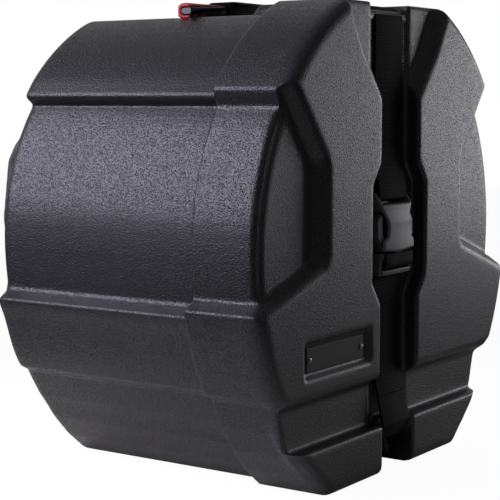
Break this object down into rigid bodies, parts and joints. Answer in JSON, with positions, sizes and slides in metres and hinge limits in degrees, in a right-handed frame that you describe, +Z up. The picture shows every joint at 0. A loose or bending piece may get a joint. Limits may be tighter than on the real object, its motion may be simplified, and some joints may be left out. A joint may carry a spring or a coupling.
{
  "type": "drum case",
  "caption": "Moulded two-part drum case with a slip-over lid, foam lining, webbing strap, side-release buckle and top grip.",
  "frame": {"origin": "on the floor under the middle of the case", "axes": "+X to the case's right seen from behind its lid, +Y from the lid to the back, +Z up"},
  "size_m": [0.4504, 0.306, 0.4274],
  "materials": {
    "shell": "pebbled satin polyethylene",
    "webbing": "ribbed nylon webbing",
    "buckle": "satin acetal",
    "foam": "closed-cell foam",
    "plate": "enamelled plate",
    "steel": "zinc-plated steel",
    "rubber": "soft satin rubber",
    "rail": "polished"
  },
  "bodies": {
    "base": {"rear_shell": "shell", "rear_foam_pad": "foam", "rear_foam_ring": "foam", "strap_rear": "webbing", "strap_top_front": "webbing", "strap_top_back": "webbing", "strap_clamp": "buckle", "clamp_screw_left": "steel", "clamp_screw_right": "steel"},
    "lid": {"front_shell": "shell", "front_foam_pad": "foam", "front_foam_ring": "foam", "label_plate": "plate", "label_rivet_left": "steel", "label_rivet_right": "steel", "strap_front_upper": "webbing", "strap_front_lower": "webbing", "strap_front_under": "webbing", "buckle_socket": "buckle"},
    "plug": {"buckle_plug": "buckle"},
    "prong_left": {"prong_left": "buckle"},
    "prong_right": {"prong_right": "buckle"},
    "handle": {"handle_grip": "rubber", "handle_rail_front": "rail", "handle_rail_rear": "rail", "handle_wrap": "webbing", "handle_stud_left": "steel", "handle_stud_right": "steel"}
  },
  "joints": [
    {"name": "lid_lift", "type": "slide", "parent": "base", "child": "lid", "axis": [0, -1, 0], "range_m": [0, 0.12]},
    {"name": "buckle_release", "type": "slide", "parent": "lid", "child": "plug", "axis": [0, 0, -1], "range_m": [0, 0.031], "deforming": ["strap_front_lower"]},
    {"name": "prong_left_press", "type": "hinge", "parent": "plug", "child": "prong_left", "pos_m": [-0.02163, -0.145, 0.2011], "axis": [0, 1, 0], "range_deg": [0, 7], "stiffness_Nm_per_rad": 0.05},
    {"name": "prong_right_press", "type": "hinge", "parent": "plug", "child": "prong_right", "pos_m": [0.02163, -0.145, 0.2011], "axis": [0, -1, 0], "range_deg": [0, 7], "stiffness_Nm_per_rad": 0.05},
    {"name": "handle_lift", "type": "slide", "parent": "base", "child": "handle", "axis": [0, 0, 1], "range_m": [0, 0.008], "deforming": ["strap_top_front", "strap_top_back"]}
  ]
}
